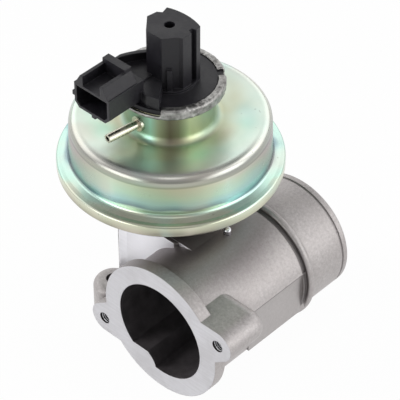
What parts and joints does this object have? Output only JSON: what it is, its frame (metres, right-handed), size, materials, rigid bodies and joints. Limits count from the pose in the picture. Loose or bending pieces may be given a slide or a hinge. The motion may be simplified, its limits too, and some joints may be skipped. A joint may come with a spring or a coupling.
{
  "type": "egr valve",
  "caption": "Exhaust gas recirculation valve: cast intake tube with a two-bolt flange and hose spigot, vacuum diaphragm can and position sensor on top.",
  "frame": {"origin": "centre of the intake bore at the face of the intake flange", "axes": "+Y along the intake bore from the flange to the hose spigot, +Z the lift direction of the valve, away from the exhaust flange"},
  "size_m": [0.1236, 0.1106, 0.173],
  "materials": {
    "cast_aluminium": "as cast, fine matt grain, machined flange faces",
    "passivated_steel": "zinc plated with a yellow-green passivate",
    "crimp_aluminium": "rolled, rough",
    "bright_steel": "bright zinc plate",
    "stainless_steel": "turned",
    "plain_steel": "pressed",
    "spring_steel": "drawn wire",
    "sintered_iron": "sintered",
    "black_plastic": "moulded, fine matt texture",
    "white_plastic": "moulded",
    "seal_rubber": "moulded",
    "diaphragm_rubber": "fabric-reinforced",
    "gasket_fibre": "pressed fibre",
    "tinned_brass": "tin plated",
    "track_ceramic": "printed track"
  },
  "bodies": {
    "housing": {"valve_housing": "cast_aluminium", "locating_pin": "bright_steel", "valve_seat_ring": "stainless_steel", "stem_guide_bush": "sintered_iron", "deposit_shield": "stainless_steel", "stem_seal": "seal_rubber", "seal_retainer": "bright_steel", "actuator_gasket": "gasket_fibre", "lower_diaphragm_shell": "passivated_steel", "actuator_screws": "bright_steel", "upper_diaphragm_shell": "passivated_steel", "diaphragm": "diaphragm_rubber", "return_spring": "spring_steel", "vacuum_pipe": "bright_steel", "vacuum_pipe_collar": "bright_steel", "sensor_crimp_ring": "crimp_aluminium", "sensor_housing": "black_plastic", "sensor_seal": "seal_rubber", "connector_pins": "tinned_brass", "plunger_spring": "spring_steel", "sensor_track_board": "track_ceramic"},
    "valve": {"poppet_valve": "stainless_steel", "valve_stem": "stainless_steel", "diaphragm_piston": "plain_steel", "diaphragm_support_plate": "plain_steel", "stem_nut": "bright_steel"},
    "pickup": {"sensor_plunger": "white_plastic", "sensor_wiper": "tinned_brass"}
  },
  "joints": [
    {"name": "valve_lift", "type": "slide", "parent": "housing", "child": "valve", "axis": [0, 0, 1], "range_m": [0, 0.007], "stiffness_N_per_m": 4000, "springref_m": -0.008, "deforming": ["return_spring", "diaphragm"]},
    {"name": "pickup_slide", "type": "slide", "parent": "housing", "child": "pickup", "axis": [0, 0, 1], "range_m": [0, 0.007], "deforming": ["plunger_spring"]}
  ],
  "couplings": [
    {"joint": "pickup_slide", "follows": "valve_lift", "ratio": 1}
  ]
}
